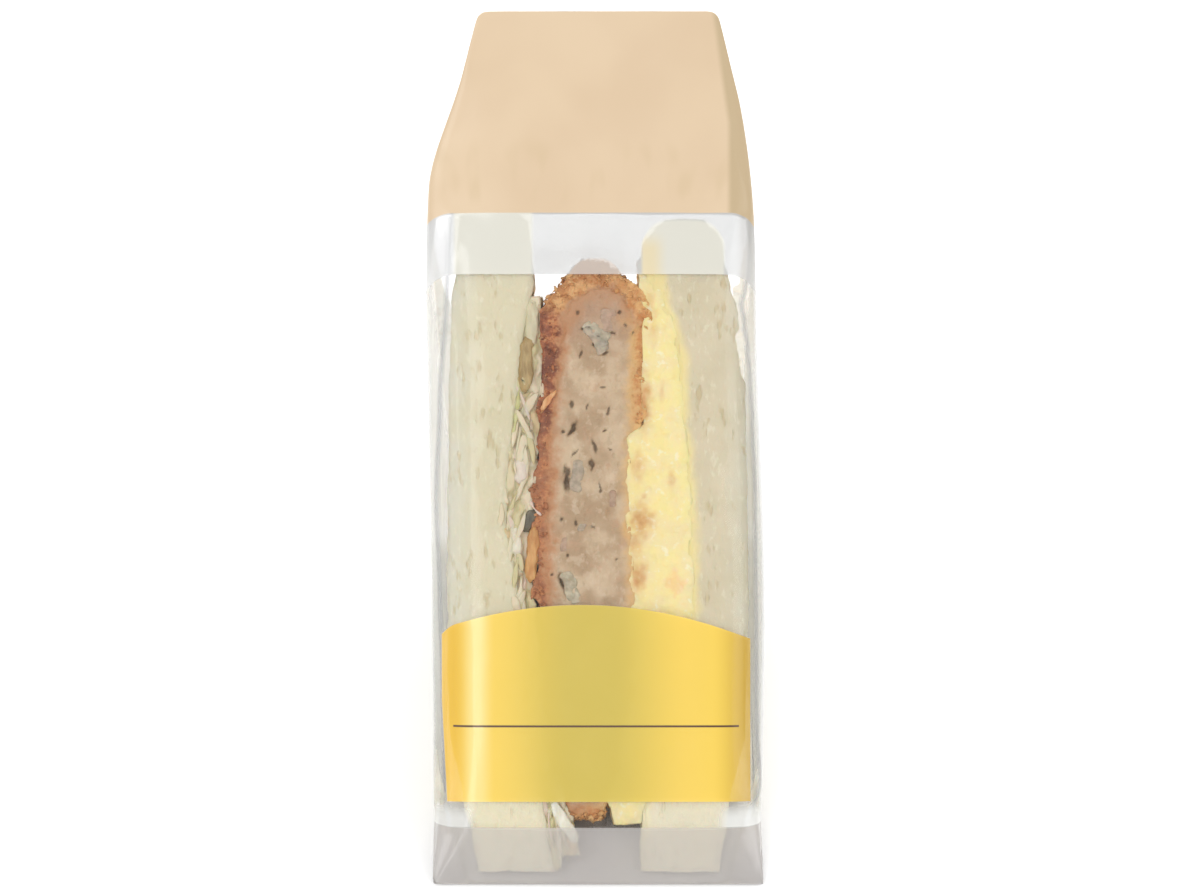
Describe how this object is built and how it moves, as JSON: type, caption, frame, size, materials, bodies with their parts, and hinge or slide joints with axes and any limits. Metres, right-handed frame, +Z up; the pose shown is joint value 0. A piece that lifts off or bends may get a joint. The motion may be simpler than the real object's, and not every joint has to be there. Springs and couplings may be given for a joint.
{
  "type": "minced meat cutlet sandwich in a film pack",
  "caption": "Triangular half sandwich with a breaded minced meat cutlet, egg salad and shredded cabbage, sealed in clear film with a flat tapered header.",
  "frame": {"origin": "centre of the bounding box on the ground, under the pack as it stands on its lower short side", "axes": "+Z up, +X across the pack to the right of the front, -Y towards the side that the sloping front faces; the front leans back 45 degrees and rises towards +Y"},
  "size_m": [0.0752, 0.1372, 0.1331],
  "materials": {
    "film": "clear glossy film with an opaque beige header, a yellow field and two milky bands"
  },
  "bodies": {
    "root": {"film_pack": "film"}
  },
  "joints": []
}
